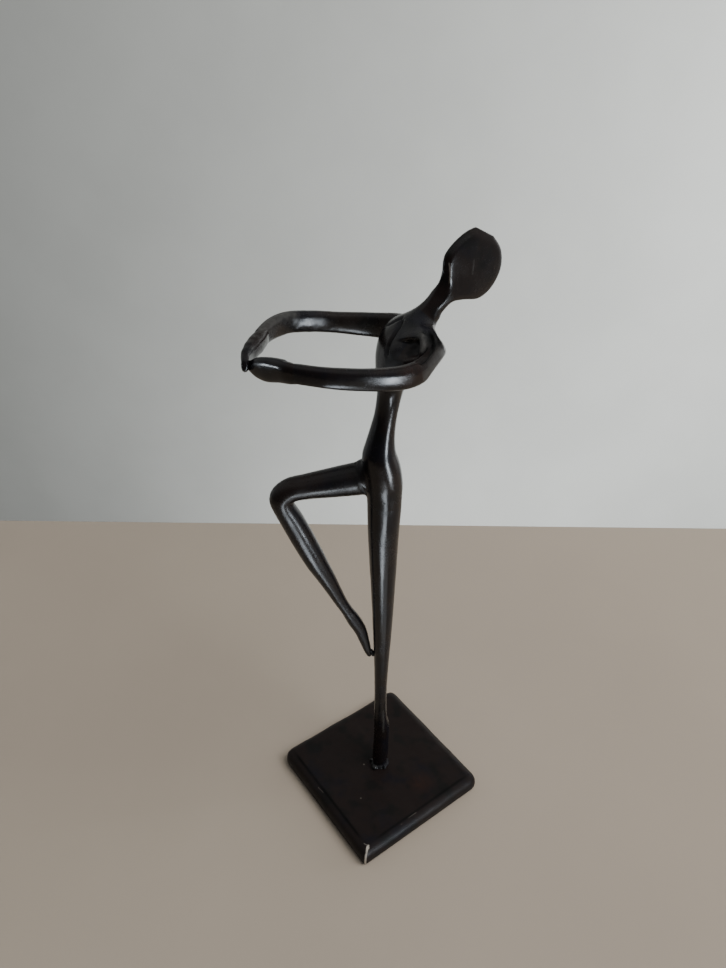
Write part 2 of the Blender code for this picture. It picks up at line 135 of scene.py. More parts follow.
# Raised leg from the hip to the toe: x, y, z, width, thickness
RAISED_LEG = (
    (-1.4, 1.0, 200.8, 9.0, 11.4),
    (-2.4, -4.0, 202.4, 12.4, 17.8),
    (-3.6, -10.5, 201.2, 13.2, 15.4),
    (-4.4, -16.0, 200.8, 12.8, 14.4),
    (-5.0, -24.0, 200.6, 11.8, 12.9),
    (-5.6, -33.0, 200.4, 10.8, 11.4),
    (-6.0, -39.6, 199.8, 10.4, 11.0),
    (-6.1, -43.9, 196.7, 10.2, 10.4),
    (-6.0, -43.3, 192.0, 10.2, 9.8),
    (-5.6, -40.1, 184.5, 10.3, 10.4),
    (-4.6, -35.6, 173.0, 10.2, 10.6),
    (-3.6, -30.9, 161.0, 9.4, 9.9),
    (-2.6, -25.6, 148.7, 7.8, 8.0),
    (-1.6, -20.2, 135.5, 6.3, 6.1),
    (-1.0, -17.0, 128.6, 5.9, 5.7),
    (-0.5, -13.4, 121.0, 6.0, 6.6),
    (0.0, -10.4, 114.0, 5.6, 6.0),
    (0.3, -8.3, 106.0, 5.2, 4.8),
    (0.6, -7.0, 100.4, 4.6, 3.8),
    (0.8, -6.1, 96.4, 3.6, 2.4),
)

# Arms from inside the shoulder, round the elbow: x, y, z, height, thickness
LEFT_ARM = (
    (1.0, 12.8, 267.6, 12.6, 10.0),
    (7.0, 14.2, 266.4, 12.0, 8.6),
    (13.0, 15.0, 265.8, 10.2, 7.6),
    (18.4, 13.6, 265.6, 8.8, 6.8),
    (23.8, 7.2, 263.4, 9.2, 6.2),
    (27.2, -0.6, 262.3, 9.2, 5.9),
    (28.6, -10.0, 263.0, 8.6, 5.6),
    (28.7, -20.0, 264.4, 8.1, 5.2),
    (27.4, -30.0, 265.9, 7.7, 5.0),
    (25.0, -35.6, 266.4, 7.4, 4.8),
    (21.4, -40.8, 266.5, 7.3, 4.6),
    (18.8, -43.0, 266.2, 6.4, 3.6),
)
LEFT_HAND = (
    (23.6, -37.8, 266.4, 6.0, 3.4),
    (21.8, -40.4, 266.4, 7.4, 4.4),
    (19.6, -42.6, 266.3, 8.2, 4.8),
    (16.8, -44.4, 265.9, 8.8, 5.0),
    (12.8, -46.8, 265.0, 9.2, 4.9),
    (8.4, -49.5, 263.8, 9.2, 4.5),
    (5.0, -51.6, 263.1, 7.7, 3.8),
    (2.8, -52.9, 262.9, 5.2, 3.0),
    (1.0, -53.9, 262.7, 3.4, 2.2),
)

# Right arm and hand, given as if on the left side and then mirrored
RIGHT_ARM = (
    (1.0, 12.8, 267.6, 12.6, 10.0),
    (7.0, 13.8, 265.4, 12.4, 8.4),
    (13.0, 13.6, 263.0, 12.2, 7.4),
    (19.4, 11.0, 262.0, 11.4, 6.4),
    (24.4, 4.6, 261.6, 10.4, 5.8),
    (27.0, -2.0, 262.0, 9.8, 5.6),
    (28.6, -11.0, 263.1, 8.9, 5.4),
    (28.8, -20.0, 264.6, 8.8, 5.2),
    (27.4, -30.0, 266.1, 8.9, 5.2),
    (25.0, -35.8, 266.5, 9.0, 5.4),
    (20.4, -41.4, 266.5, 8.4, 5.0),
    (14.2, -46.6, 266.0, 7.6, 4.4),
)
RIGHT_HAND = (
    (17.0, -43.9, 266.1, 7.0, 4.4),
    (13.2, -46.7, 265.7, 7.8, 5.6),
    (10.2, -48.8, 265.5, 7.9, 6.0),
    (6.4, -51.4, 265.2, 7.6, 5.6),
    (2.0, -53.9, 264.8, 7.2, 4.4),
    (-2.2, -55.3, 263.9, 6.2, 3.4),
    (-3.8, -55.7, 263.7, 5.0, 2.8),
    (-4.6, -55.9, 263.9, 3.4, 2.0),
)

# Head and neck: front point x, y, z, back point x, y, z, thickness
HEAD_AND_NECK = (
    (0.0, 12.0, 274.9, 0.0, 17.8, 268.2, 8.8),
    (0.3, 14.2, 277.4, 0.0, 20.2, 270.7, 8.0),
    (0.6, 16.4, 279.5, 0.0, 23.0, 274.9, 7.2),
    (1.0, 18.7, 282.2, -0.1, 26.2, 278.1, 6.8),
    (1.0, 20.7, 285.6, -1.5, 31.4, 278.1, 6.6),
    (0.7, 21.9, 289.5, -3.1, 38.4, 277.0, 6.2),
    (0.7, 22.1, 293.7, -4.3, 43.7, 279.1, 5.8),
    (0.4, 23.3, 296.9, -5.1, 47.3, 283.3, 5.6),
    (-0.6, 27.4, 300.6, -5.6, 49.1, 288.8, 5.4),
    (-1.6, 32.1, 303.3, -5.3, 48.0, 295.0, 5.0),
    (-2.6, 36.1, 304.4, -4.4, 44.2, 300.2, 3.6),
)

ARM_SQUARENESS = 2.7
HAND_SQUARENESS = 2.4
NECK_SQUARENESS = 2.2
HEAD_SQUARENESS = 4.0
# The neck fades into the head over a stretch below this height
NECK_END = 286.0
NECK_FADE = 8.0
# Half the thickness of the head's front edge, how it grows with depth, and down the neck
EDGE_ROOM = 0.5
HEAD_BEVEL = 1.0
NECK_BEVEL_OPENING = 0.35


# ---------------------------------------------------------------- lofted skins

def catmull_rom(a, b, c, d, t):
    return 0.5 * (2 * b + (c - a) * t + (2 * a - 5 * b + 4 * c - d) * t ** 2
                  + (3 * b - a - 3 * c + d) * t ** 3)


def smooth_rows(stations):
    """Rows read from one smooth curve through the stations, about ROW_SPACING apart."""
    rows = [np.array(station) for station in stations]
    padded = [2 * rows[0] - rows[1]] + rows + [2 * rows[-1] - rows[-2]]
    result = []
    for index in range(1, len(padded) - 2):
        length = float(np.linalg.norm((padded[index + 1] - padded[index])[:3]))
        steps = max(1, round(length / ROW_SPACING))
        for step in range(steps):
            result.append(catmull_rom(*padded[index - 1:index + 3], step / steps))
    result.append(rows[-1])
    return result


def section(centre, across, upward, half_across, half_up, squareness):
    """One closed ring of points: an oval at squareness 2, and squarer above it."""
    ring = []
    for index in range(RING_POINTS):
        angle = 2 * math.pi * (index + 0.5) / RING_POINTS
        cosine, sine = math.cos(angle), math.sin(angle)
        side = math.copysign(abs(cosine) ** (2 / squareness), cosine) * half_across
        rise = math.copysign(abs(sine) ** (2 / squareness), sine) * half_up
        ring.append(centre + across * side + upward * rise)
    return ring


def limb(stations, across, squareness=2.0):
    """Rings along a smooth line through stations of x, y, z and two sizes.

    across is the direction of the first size, turned to lie square to the limb.
    """
    rows = smooth_rows(stations)
    centres = [Vector(row[:3]) for row in rows]
    rings = []
    for index, row in enumerate(rows):
        before = centres[max(index - 1, 0)]
        after = centres[min(index + 1, len(rows) - 1)]
        along = (after - before).normalized()
        sideways = (across - along * across.dot(along)).normalized()
        rings.append(section(centres[index], sideways, along.cross(sideways), row[3] / 2,
                             row[4] / 2, squareness))
    return rings


def flat_form(stations):
    """Rings of a flat form from front points, back points and thicknesses.

    Its front edge is bevelled on both sides, which leaves a ridge along each bevel.
    """
    rings = []
    for row in smooth_rows(stations):
        front, back = Vector(row[:3]), Vector(row[3:6])
        breadth = back - front
        inward = breadth.normalized()
        across = (SIDEWAYS - inward * inward.x).normalized()
        below_head = NECK_END - front.z
        in_head = min(1.0, max(0.0, 1.0 - below_head / NECK_FADE))
        squareness = NECK_SQUARENESS + (HEAD_SQUARENESS - NECK_SQUARENESS) * in_head
        ring = section((front + back) / 2, across, inward, row[6] / 2, breadth.length / 2,
                       squareness)
        for index, point in enumerate(ring):
            depth = (point - front).dot(inward)
            side = (point - front).dot(across)
            room = EDGE_ROOM + depth * HEAD_BEVEL + NECK_BEVEL_OPENING * max(0.0, below_head)
            if abs(side) > room:
                ring[index] = point - across * (side - math.copysign(room, side))
        rings.append(ring)
    return rings


def mirrored(rows):
    return tuple((-row[0], *row[1:]) for row in rows)


# ---------------------------------------------------------------- the clay

def skin_mesh(name, skins):
    """One mesh that holds a closed skin over each row of rings."""
    bm = bmesh.new()
    for rings in skins:
        loops = [[bm.verts.new(point) for point in ring] for ring in rings]
        count = len(rings[0])
        for lower, upper in zip(loops, loops[1:]):
            for index in range(count):
                following = (index + 1) % count
                bm.faces.new((lower[index], lower[following], upper[following], upper[index]))
        bm.faces.new(loops[0][::-1])
        bm.faces.new(loops[-1])
    bmesh.ops.recalc_face_normals(bm, faces=bm.faces)
    mesh = bpy.data.meshes.new(name)
    bm.to_mesh(mesh)
    bm.free()
    return mesh


def applied(mesh, kind, **settings):
    """A new mesh: the given one after one modifier."""
    item = bpy.data.objects.new(mesh.name, mesh)
    bpy.context.scene.collection.objects.link(item)
    modifier = item.modifiers.new(mesh.name, kind)
    for setting, value in settings.items():
        setattr(modifier, setting, value)
    evaluated = item.evaluated_get(bpy.context.evaluated_depsgraph_get())
    result = bpy.data.meshes.new_from_object(evaluated)
    bpy.data.objects.remove(item)
    return result


def smoothstep(value, low, high):
    share = np.clip((value - low) / (high - low), 0.0, 1.0)
    return share * share * (3.0 - 2.0 * share)


class Clay:
    """A fine closed surface and the sculpting moves that work it."""

    def __init__(self, mesh, voxel=FIGURE_VOXEL):
        """Joins all that overlaps in a mesh and spreads its points evenly."""
        self.paint = {}
        self.mesh = applied(mesh, "REMESH", mode="VOXEL", voxel_size=voxel, adaptivity=0.0)
        count = len(self.mesh.vertices)
        self.points = np.empty(count * 3)
        self.mesh.vertices.foreach_get("co", self.points)
        self.points = self.points.reshape(-1, 3)
        edges = np.empty(len(self.mesh.edges) * 2, np.int32)
        self.mesh.edges.foreach_get("vertices", edges)
        self.starts, self.ends = edges.reshape(-1, 2).T
        self.degree = (np.bincount(self.starts, minlength=count)
                       + np.bincount(self.ends, minlength=count))

    def write(self):
        self.mesh.vertices.foreach_set("co", self.points.ravel())
        for name, values in self.paint.items():
            layer = self.mesh.attributes.get(name) or self.mesh.attributes.new(name, "FLOAT", "POINT")
            layer.data.foreach_set("value", values)
        self.mesh.update()

    def normals(self):
        self.write()
        normals = np.empty(self.points.size)
        self.mesh.vertex_normals.foreach_get("vector", normals)
        return normals.reshape(-1, 3)

    def near(self, centre, reach):
        """Weight 1 at a point, falling smoothly to 0 at the reach."""
        away = np.linalg.norm(self.points - np.array(centre), axis=1)
        return 1.0 - smoothstep(away, 0.25 * reach, reach)

    def along(self, path, width):
        """Weight 1 on a line through points, falling off over the width and at its ends."""
        stops = [np.array(point) for point in path]
        total = sum(np.linalg.norm(b - a) for a, b in zip(stops, stops[1:]))
        best = np.full(len(self.points), np.inf)
        place = np.zeros(len(self.points))
        passed = 0.0
        for a, b in zip(stops, stops[1:]):
            length = np.linalg.norm(b - a)
            share = np.clip((self.points - a) @ (b - a) / length ** 2, 0.0, 1.0)
            away = np.linalg.norm(self.points - a - share[:, None] * (b - a), axis=1)
            closer = away < best
            best[closer] = away[closer]
            place[closer] = (passed + share[closer] * length) / total
            passed += length
        ends = smoothstep(place, 0.0, 0.12) * (1.0 - smoothstep(place, 0.88, 1.0))
        return np.exp(-(best / width) ** 2) * ends

    def push(self, amount):
        """Moves each point along its normal, outwards where the amount is above 0."""
        self.points += self.normals() * amount[:, None]

    def spot(self, point):
        """The surface point nearest to a place, and its normal."""
        index = np.argmin(np.linalg.norm(self.points - np.array(point), axis=1))
        return self.points[index].copy(), self.normals()[index]

    def sink(self, centre, reach, depth, walls):
        """Presses in what lies between walls, and returns how much of it each point got.

        Each wall is a point, the normal towards the pressed side and the width of its slope.
        """
        inwards = -self.spot(centre)[1]
        share = self.near(centre, reach) * smoothstep(self.normals() @ -inwards, 0.1, 0.4)
        for point, normal, width in walls:
            share *= smoothstep((self.points - np.array(point)) @ np.array(normal), 0.0, width)
        self.points += (share * depth)[:, None] * inwards
        return share

    def scoop(self, point, radius, depth):
        """Presses a ball of that radius into the surface."""
        place, normal = self.spot(point)
        offset = self.points - (place + normal * (radius - depth))
        along = offset @ normal
        across = np.sum(offset ** 2, axis=1) - along ** 2
        inside = (across + along ** 2 < radius ** 2) & (along < 0.0)
        floor = -np.sqrt(np.maximum(radius ** 2 - across, 0.0))
        self.points += np.where(inside, floor - along, 0.0)[:, None] * normal

    def flatten(self, point, normal, reach):
        """Files off what stands beyond a plane, near a point."""
        normal = np.array(normal) / np.linalg.norm(normal)
        beyond = np.maximum((self.points - np.array(point)) @ normal, 0.0)
        self.points -= (beyond * self.near(point, reach))[:, None] * normal

    def ripple(self, size, height, seed, weight=1.0):
        """Uneven skin: soft bumps about size across."""
        bumps = np.array([noise.noise(Vector(point / size + seed)) for point in self.points])
        self.push(bumps * height * weight)

    def brush(self, name, weight):
        """Paints a named value on the surface, and keeps the stronger where strokes meet."""
        before = self.paint.get(name, np.zeros(len(self.points)))
        self.paint[name] = np.maximum(before, weight)

    def average(self):
        """The mean of each point's neighbours."""
        total = np.empty_like(self.points)
        for axis in range(3):
            values = self.points[:, axis]
            total[:, axis] = (np.bincount(self.starts, values[self.ends], len(values))
                              + np.bincount(self.ends, values[self.starts], len(values)))
        return total / self.degree[:, None]

    def relax(self, rounds, weight=1.0):
        """Smooths the surface where the weight is above 0; it shrinks a little."""
        weight = np.broadcast_to(weight, len(self.points))[:, None]
        for _ in range(rounds):
            self.points += (self.average() - self.points) * weight * RELAX_STEP

    def read_form(self):
        """How convex (above 0) or hollow (below 0) the surface is at each point."""
        before = self.points.copy()
        normals = self.normals()
        self.relax(FORM_ROUNDS)
        form = np.einsum("ij,ij->i", before - self.points, normals) / FORM_SCALE
        self.points = before
        self.paint["form"] = np.clip(form, -1.0, 1.0)

    def polish(self, rounds):
        """Smooths small ripples all over and keeps the volume."""
        for step in POLISH_STEPS * rounds:
            self.points += (self.average() - self.points) * step

    def fired(self):
        """The finished mesh, with its form and paint stored on its points."""
        self.read_form()
        self.write()
        return self.mesh


# ---------------------------------------------------------------- the figure

# Where the skins' meeting lines are smoothed away: a point and its reach
MELTED = (
    ((-1.0, -6.0, 201.0), 14.0),
    ((5.5, -3.0, 196.0), 11.0),
    ((7.0, 11.0, 265.0), 12.0),
    ((-7.0, 11.0, 265.0), 12.0),
    ((0.0, 16.0, 273.0), 10.0),
)
MELT_ROUNDS = 20
# The near elbow's filed facets: a point on each, its normal and its reach
ELBOW_FACETS = (
    ((21.1, 15.7, 265.45), (0.548, 0.671, -0.500), 26.0),
    ((13.0, 18.6, 266.0), (0.132, 0.833, 0.537), 12.0),
)
# The filed elbow and the far armpit are smoothed further
SOFTENED = (((23.0, 12.0, 266.0), 12.0), ((-13.0, 6.0, 259.0), 10.0))
SOFTEN_ROUNDS = 30
NECK_FACET = ((3.5, 19.2, 277.9), (0.85, -0.33, 0.42), 12.0)
# A dip on the near shoulder: its middle, its radius and its depth
SHOULDER_DIP = ((20.0, 10.5, 268.6), 9.0, 1.0)
# Lines worked into the surface
SHOULDER_CREASE = ((-12.0, 4.0, 264.6), (-6.9, 4.2, 268.6), (-4.4, 6.4, 271.2), (-2.2, 8.4, 272.9))
BREAST_CREASE = ((-2.0, 8.0, 272.6), (1.0, 5.0, 270.3), (2.4, 2.1, 267.4), (3.0, -0.1, 264.0),
                 (4.6, -1.0, 261.5), (5.2, -1.4, 260.0))
ARMPIT_CREVICE = ((9.2, 14.2, 271.9), (10.1, 13.8, 271.5), (13.9, 12.5, 270.0),
                  (18.5, 10.7, 268.9), (22.5, 8.6, 268.2), (26.2, 5.0, 267.2), (27.6, 2.0, 266.6))
ARMPIT_RIM = ((10.5, 11.5, 270.6), (11.8, 9.8, 269.5), (14.8, 9.8, 267.5), (17.0, 8.5, 265.5))
HIP_CREASE = ((-8.6, -9.6, 206.6), (-4.0, -11.4, 208.7), (0.4, -11.6, 206.4), (2.7, -10.9, 200.9),
              (2.6, -9.2, 197.6), (1.4, -7.6, 194.6))
# Each line, its width and how far it stands out, or lies in below 0
CHASED_LINES = (
    (ARMPIT_RIM, 1.0, 0.8),
    (ARMPIT_CREVICE, 1.2, -2.0),
    (SHOULDER_CREASE, 0.7, -1.1),
    (BREAST_CREASE, 0.8, -1.3),
    (HIP_CREASE, 0.7, -0.55),
)
# The hollow under the left collarbone: its middle, its reach, its depth and its walls
HOLLOW = (9.0, 4.0, 266.0)
HOLLOW_REACH = 22.0
HOLLOW_DEPTH = 2.6
HOLLOW_WALLS = (
    ((5.0, 2.4, 267.3), (0.398, -0.027, -0.917), 0.9),
    ((12.6, 9.3, 269.9), (-0.399, -0.917, 0.031), 1.2),
    ((2.1, 2.7, 266.6), (0.443, 0.853, -0.275), 6.0),
    ((7.1, -1.4, 258.5), (-0.417, 0.062, 0.907), 5.0),
)
# Pale grey, duller patina, painted where highlights and reflections of the room's light show:
# on the far forearm, the near elbow's top facet, the armpit rim and shoulder, lines down the
# foot, the chest, the head's front edge and glints on its face, and over the far arm: a path,
# its width and its strength
HAZE_AND_SHEEN = (
    (((-11.0, -49.0, 270.0), (-18.0, -43.0, 270.8), (-24.0, -37.0, 270.8), (-28.0, -27.0, 270.0)),
     4.0, 1.0),
    (((21.0, 15.4, 268.2), (23.0, 13.3, 267.2), (25.0, 11.0, 265.2), (27.8, 6.1, 262.1),
      (29.0, 3.3, 261.4)), 2.6, 1.0),
    (((9.0, 14.0, 273.0), (5.0, 17.4, 273.6)), 2.0, 0.4),
    (ARMPIT_RIM, 1.6, 1.0),
    (((5.9, 0.4, 58.4), (6.0, 0.6, 47.9), (6.0, 0.7, 37.9)), 0.5, 0.8),
    (((5.3, 1.8, 61.9), (5.3, 2.0, 54.7)), 0.4, 0.5),
    (((5.2, 4.0, 268.6), (8.0, 8.0, 270.6), (10.4, 11.4, 271.4)), 2.0, 0.35),
    (((4.6, 0.2, 263.4), (6.0, 2.0, 265.6), (8.4, 4.0, 266.4)), 2.6, 0.35),
    (((2.4, 23.6, 296.9), (1.6, 28.2, 300.4), (0.2, 33.0, 303.2)), 0.9, 0.3),
    (((0.5, 34.7, 293.8), (0.6, 34.7, 291.2), (0.8, 34.4, 287.2)), 0.35, 0.5),
    (((-28.6, -26.0, 265.0), (-28.4, -10.0, 263.0), (-25.0, 4.0, 261.6), (-16.0, 12.0, 262.6)),
     6.0, 0.22),
)
# The far arm's hammered inner side
HAMMERED_LINE = ((-26.0, -36.0, 265.5), (-28.0, -8.0, 263.0))
HAMMERED_WIDTH = 7.0
# Painted shade, near-black and matt: in the creases and the armpit crevice, inside the hollow
# below the collarbone, on the near shoulder, under the near arm and on the neck: a path, its
# width and its strength
PAINTED_SHADE = (
    (SHOULDER_CREASE, 0.7, 1.0),
    (BREAST_CREASE, 0.8, 1.0),
    (ARMPIT_CREVICE, 1.6, 1.0),
    (((11.0, 7.4, 268.6), (12.4, 7.0, 266.0), (11.6, 4.6, 262.6)), 2.4, 0.9),
    (HIP_CREASE, 0.6, 0.8),
    (((16.5, 12.4, 270.0), (19.3, 12.8, 269.3), (20.8, 11.0, 267.4), (24.9, 6.7, 266.2)), 1.6, 0.7),
    (((4.0, -1.6, 258.6), (5.9, -1.4, 259.4), (10.5, 0.2, 259.9), (14.0, 2.5, 260.9)), 2.4, 0.85),
    (((4.6, 16.5, 274.5), (4.9, 20.0, 277.5), (4.4, 24.0, 280.0), (4.0, 27.0, 280.6)), 1.3, 0.7),
)
# A dark spot of painted shade at the hip, where a casting pit shows; the surface itself is
# not pitted: a point, its reach and its strength
HIP_PIT_SHADE = ((9.0, -2.6, 194.7), 0.9, 0.8)
# Where old red-brown lacquer shines through: a point, its reach and its strength
LACQUER = (((30.1, -0.3, 263.2), 8.0, 1.0), ((9.3, 1.5, 206.1), 12.0, 0.25))
# The ridge between the face of the head and its front edge, worn bright and painted brighter
# still as a highlight
RIDGE = ((1.9, 23.6, 294.8), (2.6, 23.9, 292.1), (2.8, 24.3, 289.1), (3.1, 24.1, 286.2),
         (3.4, 23.1, 284.3), (3.7, 21.6, 282.6), (3.8, 20.4, 281.4))
RIDGE_WIDTH = 0.45
RIDGE_WEAR_AND_HIGHLIGHT = 0.42


def shape_figure():
    """The clay of the whole figure but its hands, worked and painted."""
    skins = [
        limb(LEG_AND_TORSO, SIDEWAYS),
        limb(RAISED_LEG, SIDEWAYS),
        limb(LEFT_ARM, UP, ARM_SQUARENESS),
        limb(mirrored(RIGHT_ARM), UP, ARM_SQUARENESS),
        flat_form(HEAD_AND_NECK),
    ]
    clay = Clay(skin_mesh("figure", skins))
    clay.polish(4)
    for centre, reach in MELTED:
        clay.relax(MELT_ROUNDS, clay.near(centre, reach))
    for facet in ELBOW_FACETS:
        clay.flatten(*facet)
    for centre, reach in SOFTENED:
        clay.relax(SOFTEN_ROUNDS, clay.near(centre, reach))
    clay.flatten(*NECK_FACET)
    clay.scoop(*SHOULDER_DIP)
    pressed = clay.sink(HOLLOW, HOLLOW_REACH, HOLLOW_DEPTH, HOLLOW_WALLS)
    for path, width, height in CHASED_LINES:
        clay.push(clay.along(path, width) * height)
    clay.relax(2)
    clay.ripple(size=2.6, height=0.5, seed=11.2, weight=pressed)
    clay.ripple(size=9.0, height=0.06, seed=3.1)
    clay.ripple(size=2.4, height=0.10, seed=8.4, weight=clay.along(HAMMERED_LINE, HAMMERED_WIDTH))
    paint_figure(clay)
    return clay.fired()


def paint_figure(clay):
    """Where the patina is stained, dulled and worn, and where highlights and shade are painted on."""
    for path, width, strength in HAZE_AND_SHEEN:
        clay.brush("haze_and_sheen", clay.along(path, width) * strength)
    for path, width, strength in PAINTED_SHADE:
        clay.brush("painted_shade", clay.along(path, width) * strength)
    centre, reach, strength = HIP_PIT_SHADE
    clay.brush("painted_shade", clay.near(centre, reach) * strength)
    for centre, reach, strength in LACQUER:
        clay.brush("stain", clay.near(centre, reach) * strength)
    clay.brush("bare_and_highlight", clay.along(RIDGE, RIDGE_WIDTH) * RIDGE_WEAR_AND_HIGHLIGHT)


def saw_joints(bm):
    """Cuts the faces near each joint along its plane and parts them there."""
    for point, normal, reach in JOINTS:
        faces = [face for face in bm.faces
                 if all((vertex.co - point).length < reach for vertex in face.verts)]
        vertices = {vertex for face in faces for vertex in face.verts}
        edges = {edge for face in faces for edge in face.edges}
        cut = bmesh.ops.bisect_plane(bm, geom=list(vertices) + list(edges) + faces,
                                     plane_co=point, plane_no=normal, dist=1e-5)["geom_cut"]
        seam = [item for item in cut if isinstance(item, bmesh.types.BMEdge)]
        bmesh.ops.split_edges(bm, edges=seam)


def number_islands(bm):
    """The number of the connected island that each vertex is on."""
    island = {}
    count = 0
    for vertex in bm.verts:
        if vertex in island:
            continue
        waiting = [vertex]
        island[vertex] = count
        while waiting:
            for edge in waiting.pop().link_edges:
                for other in edge.verts:
                    if other not in island:
                        island[other] = count
                        waiting.append(other)
        count += 1
    return island


def closed_casting(bm, name, kept):
    """A mesh of the kept vertices alone, with its saw cuts filled."""
    casting = bm.copy()
    casting.verts.ensure_lookup_table()
    spare = [casting.verts[vertex.index] for vertex in bm.verts if vertex not in kept]
    bmesh.ops.delete(casting, geom=spare, context="VERTS")
    rim = [edge for edge in casting.edges if edge.is_boundary]
    bmesh.ops.holes_fill(casting, edges=rim, sides=0)
    for edge in rim:
        edge.smooth = False
    mesh = bpy.data.meshes.new(name)
    casting.to_mesh(mesh)
    casting.free()
    return mesh


def saw_apart(figure):
    """Cuts the figure at the founder's joints: a closed mesh for each casting.

    Crumbs that the saw leaves loose stay with the torso.
    """
    bm = bmesh.new()
    bm.from_mesh(figure)
    saw_joints(bm)
    bm.verts.index_update()
    island = number_islands(bm)
    owner = {}
    for name, middle in CASTINGS.items():
        middle = Vector(middle)
        nearest = min(bm.verts, key=lambda vertex: (vertex.co - middle).length_squared)
        if island[nearest] in owner:
            raise ValueError(f"{name} isn't sawn off from {owner[island[nearest]]}")
        owner[island[nearest]] = name
    meshes = {}
    for name in CASTINGS:
        kept = {vertex for vertex in bm.verts if owner.get(island[vertex], "torso") == name}
        meshes[name] = closed_casting(bm, name, kept)
    bm.free()
    return meshes


# The notch at the near wrist: its line, its width and its depth
WRIST_NOTCH = (((20.6, -39.6, 270.8), (18.4, -42.2, 271.2), (16.4, -43.4, 270.8)), 1.2, 0.8)
# Grooves between the far hand's fingers: their heights where the hand is PALM_HEIGHT high
FINGER_GROOVES = (-2.0, 0.0, 2.0)
PALM_HEIGHT = 7.4
GROOVE_WIDTH = 0.7
GROOVE_DEPTH = 0.45


def shape_left_hand():
    clay = Clay(skin_mesh("left_hand", [limb(LEFT_HAND, UP, HAND_SQUARENESS)]))
    clay.relax(2)
    path, width, depth = WRIST_NOTCH
    clay.push(clay.along(path, width) * -depth)
    clay.ripple(size=6.0, height=0.18, seed=5.2)
    return clay.fired()


def shape_right_hand():
    rows = mirrored(RIGHT_HAND)
    clay = Clay(skin_mesh("right_hand", [limb(rows, UP, HAND_SQUARENESS)]))
    clay.relax(2)
    for rise in FINGER_GROOVES:
        # On the outer side of the hand, from the knuckles to the fingertips
        groove = [(x - 1.2, y - 1.6, z + rise * height / PALM_HEIGHT)
                  for x, y, z, height, _ in rows[2:]]
        clay.push(clay.along(groove, GROOVE_WIDTH) * -GROOVE_DEPTH)
    clay.ripple(size=3.0, height=0.15, seed=7.7)
    return clay.fired()


# ---------------------------------------------------------------- plate and beads

# The chip on the front corner and the marks on the top, in millimetres of the world
CHIP = (36.8, -35.4, 9.0)
CHIP_REACH = 1.3
# Bright edges of the chip: a path, its width and how bare it is
CHIP_EDGES = (
    (((35.6, -33.6, 9.5), (36.6, -35.6, 9.0), (38.6, -38.2, 6.8), (39.6, -39.2, 4.0),
      (39.6, -39.2, 0.8)), 0.6, 0.9),
    (((33.2, -36.0, 9.2), (35.2, -35.4, 9.3), (36.8, -34.4, 9.2), (37.6, -32.6, 9.0)), 0.4, 0.4),
)
SCRATCHES = (
    ((-8.4, -37.0, 8.8), (-2.4, -36.4, 9.0)),
    ((-15.4, -39.3, 6.4), (-13.4, -39.3, 6.2)),
    ((36.2, -9.0, 9.0), (36.2, -2.0, 9.1)),
    ((36.8, -14.2, 9.0), (36.8, -12.6, 9.1)),
)
SCRATCH_WIDTH = 0.30
SCRATCH_WEAR = 0.32
# Painted shade: dark lines where the flat top turns into its rounded edges
TOP_EDGES = (((35.6, -34.0, 9.6), (35.6, 37.0, 9.6)), ((34.0, -35.6, 9.6), (-37.0, -35.6, 9.6)))
TOP_EDGE_WIDTH = 0.8
TOP_EDGE_SHADE = 0.9
# Specks on the top: a point and its reach
SPECKS = (((-4.3, -8.0, 9.8), 1.2), ((-19.7, 20.7, 9.8), 1.1), ((12.0, -22.0, 9.8), 0.9))
SPECK_WEAR = 0.36
STAIN = (23.6, 10.8, 9.8)
STAIN_REACH = 9.0


def shape_plate():
    """The cast plate, worked over from its CAD solid, in millimetres of the world."""
    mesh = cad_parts["base_plate"].data.copy()
    mesh.materials.clear()
    mesh.transform(Matrix.Diagonal((1 / MM, 1 / MM, 1 / MM, 1.0)))
    clay = Clay(mesh, PLATE_VOXEL)
    clay.relax(2)
    # The flat underside stays true
    outside = smoothstep(clay.points[:, 2], PLATE_LOW.z + 0.5, PLATE_LOW.z + 3.0)
    clay.ripple(size=16.0, height=0.30, seed=1.7, weight=outside)
    clay.ripple(size=4.0, height=0.08, seed=6.3, weight=outside)
    clay.scoop(CHIP, radius=1.6, depth=0.35)
    clay.brush("bare_and_highlight", clay.near(CHIP, CHIP_REACH))
    for path, width, strength in CHIP_EDGES:
        clay.brush("bare_and_highlight", clay.along(path, width) * strength)
    for path in SCRATCHES:
        clay.brush("bare_and_highlight", clay.along(path, SCRATCH_WIDTH) * SCRATCH_WEAR)
    for centre, reach in SPECKS:
        clay.brush("bare_and_highlight", clay.near(centre, reach) * SPECK_WEAR)
    for path in TOP_EDGES:
        clay.brush("painted_shade", clay.along(path, TOP_EDGE_WIDTH) * TOP_EDGE_SHADE)
    clay.brush("stain", clay.near(STAIN, STAIN_REACH))
    return clay.fired()


# The foot's bead, as a collar of x, y, z, width and depth
FOOT_COLLAR = (
    (3.0, 0.1, PLATE_TOP - 0.1, 9.4, 11.0),
    (3.0, 0.1, PLATE_TOP + 0.6, 8.2, 9.8),
    (3.0, 0.1, PLATE_TOP + 1.4, 6.8, 8.8),
)
# Drops of braze: a centre and a radius
FOOT_DROPS = (((5.8, -4.0, 10.8), 1.5), ((7.6, 1.4, 10.4), 0.9), ((0.4, -4.4, 10.4), 1.0))
TOE_DROPS = (((1.3, -4.5, 97.6), 1.3), ((1.4, -4.1, 96.5), 1.0), ((0.9, -4.9, 98.8), 1.0))
FINGERTIP_DROPS = (((1.6, -53.4, 263.0), 1.2), ((0.6, -54.0, 264.0), 0.9))
DROP_RINGS = 9


